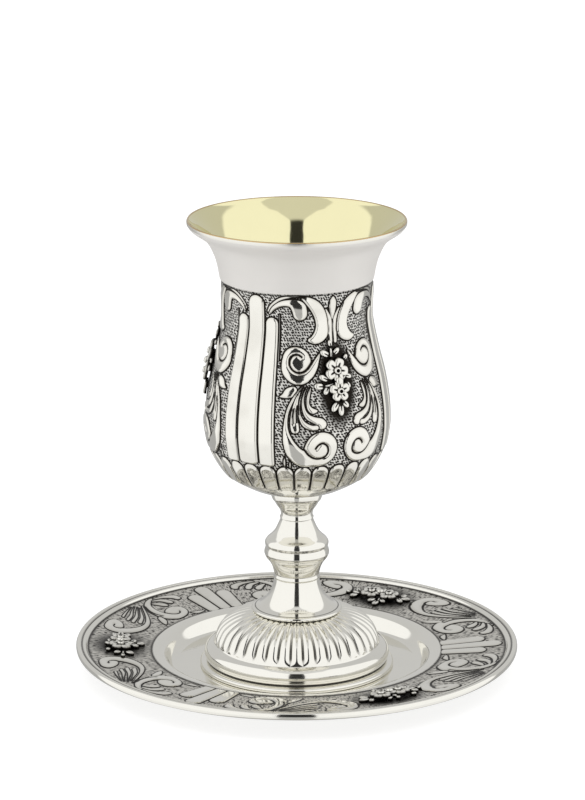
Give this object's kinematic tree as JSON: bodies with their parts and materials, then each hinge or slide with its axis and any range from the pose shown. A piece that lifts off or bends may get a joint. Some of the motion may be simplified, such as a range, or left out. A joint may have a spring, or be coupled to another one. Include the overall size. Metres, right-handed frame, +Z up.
{
  "type": "kiddush cup with saucer",
  "caption": "Silver kiddush cup, a beaker with chased scrolls and flutes on a baluster stem and gadrooned foot, standing on its matching saucer.",
  "frame": {"origin": "centre of the saucer's underside, on the surface that it stands on", "axes": "+Z up along the cup's axis; -Y is the front that the picture shows; +X to its right"},
  "size_m": [0.1358, 0.1358, 0.141],
  "materials": {
    "silver": "polished warm white silver with dark oxidised recesses",
    "cast_silver": "cast silver, bright on the crests and black in the recesses",
    "gilding": "polished pale gilding inside the bowl"
  },
  "bodies": {
    "root": {"bowl": "silver", "stem": "silver", "foot": "silver", "saucer": "silver", "bowl_spray_1": "cast_silver", "bowl_spray_2": "cast_silver", "bowl_spray_3": "cast_silver", "saucer_spray_1": "cast_silver", "saucer_spray_2": "cast_silver", "saucer_spray_3": "cast_silver"}
  },
  "joints": []
}
